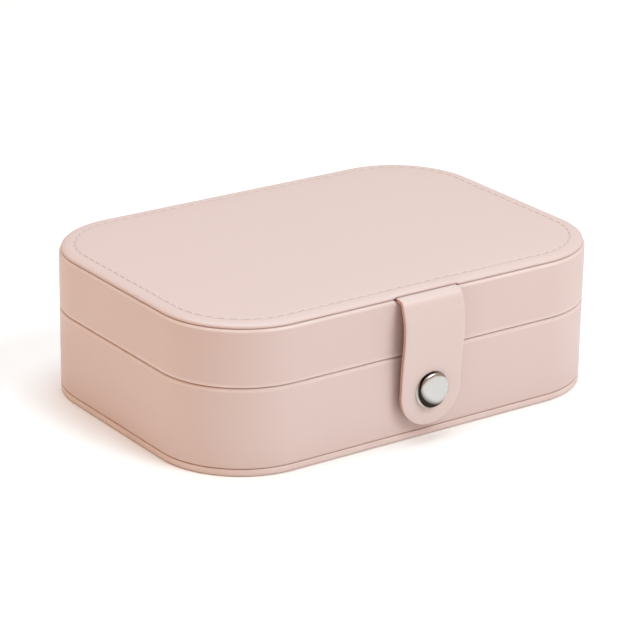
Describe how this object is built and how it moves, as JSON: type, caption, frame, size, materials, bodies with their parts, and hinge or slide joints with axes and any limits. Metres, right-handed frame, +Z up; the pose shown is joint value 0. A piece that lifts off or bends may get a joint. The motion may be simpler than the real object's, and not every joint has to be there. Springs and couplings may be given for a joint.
{
  "type": "jewellery case",
  "caption": "Rounded hinged jewellery case in imitation leather with a padded lid, a strap with a press stud, and a lift-out ring tray.",
  "frame": {"origin": "centre of the face the case rests on, between its side walls", "axes": "+Z up, -Y towards the front with the strap, +X to the right seen from the front"},
  "size_m": [0.165, 0.1224, 0.052],
  "materials": {
    "case_leather": "satin imitation leather, fine smooth grain",
    "strap_leather": "satin imitation leather, fine smooth grain",
    "strap_lining_leather": "matt imitation leather with a painted edge",
    "board": "grey board",
    "foam": "thin white foam",
    "velvet": "short-pile velvet",
    "roll_velvet": "short-pile velvet over foam",
    "ribbon": "woven satin ribbon",
    "thread": "tone-on-tone sewing thread",
    "satin_nickel": "satin nickel plate",
    "bright_nickel": "bright nickel plate"
  },
  "bodies": {
    "base": {"base_plate_cover": "case_leather", "base_plate_board": "board", "base_side_cover": "case_leather", "base_wall_core": "board", "base_wall_lining": "velvet", "base_floor_board": "board", "base_floor_lining": "velvet", "lower_divider_long": "velvet", "lower_divider_back_left": "velvet", "lower_divider_back_right": "velvet", "lower_divider_front": "velvet", "hinge_leather_lower": "case_leather", "hinge_lining_lower": "velvet", "snap_stud": "bright_nickel", "stud_washer": "bright_nickel"},
    "lid": {"lid_side_cover": "case_leather", "lid_wall_core": "board", "lid_wall_lining": "velvet", "lid_top_board": "board", "lid_top_foam": "foam", "lid_top_cover": "case_leather", "lid_panel_board": "board", "lid_panel_lining": "velvet", "hinge_leather_upper": "case_leather", "hinge_lining_upper": "velvet", "strap_anchor": "strap_leather", "hook_strip": "strap_leather", "necklace_hook_1": "bright_nickel", "necklace_hook_2": "bright_nickel", "necklace_hook_3": "bright_nickel", "necklace_hook_4": "bright_nickel", "necklace_hook_5": "bright_nickel", "necklace_pouch": "velvet", "pouch_elastic": "ribbon"},
    "strap": {"strap_outer": "strap_leather", "strap_lining": "strap_lining_leather", "snap_cap": "satin_nickel", "snap_socket": "bright_nickel", "snap_spring": "bright_nickel"},
    "tray": {"tray_cover": "velvet", "tray_floor": "board", "tray_wall": "board", "tray_wall_lining": "velvet", "tray_floor_lining": "velvet", "tray_divider_left": "velvet", "tray_divider_right": "velvet", "tray_cross_left": "velvet", "tray_cross_right": "velvet", "ring_roll_1": "roll_velvet", "ring_roll_2": "roll_velvet", "ring_roll_3": "roll_velvet", "ring_roll_4": "roll_velvet", "ring_roll_5": "roll_velvet", "ring_roll_6": "roll_velvet", "ring_roll_7": "roll_velvet", "ring_roll_8": "roll_velvet", "tray_tab_left": "ribbon", "tray_tab_right": "ribbon"}
  },
  "joints": [
    {"name": "lid_hinge", "type": "hinge", "parent": "base", "child": "lid", "pos_m": [0, 0.05835, 0.0302], "axis": [-1, 0, 0], "range_deg": [0, 110]},
    {"name": "strap_lift", "type": "hinge", "parent": "lid", "child": "strap", "pos_m": [0, -0.0603, 0.0489], "axis": [-1, 0, 0], "range_deg": [0, 120]},
    {"name": "tray_lift", "type": "slide", "parent": "base", "child": "tray", "axis": [0, 0, 1], "range_m": [0, 0.0134]}
  ]
}
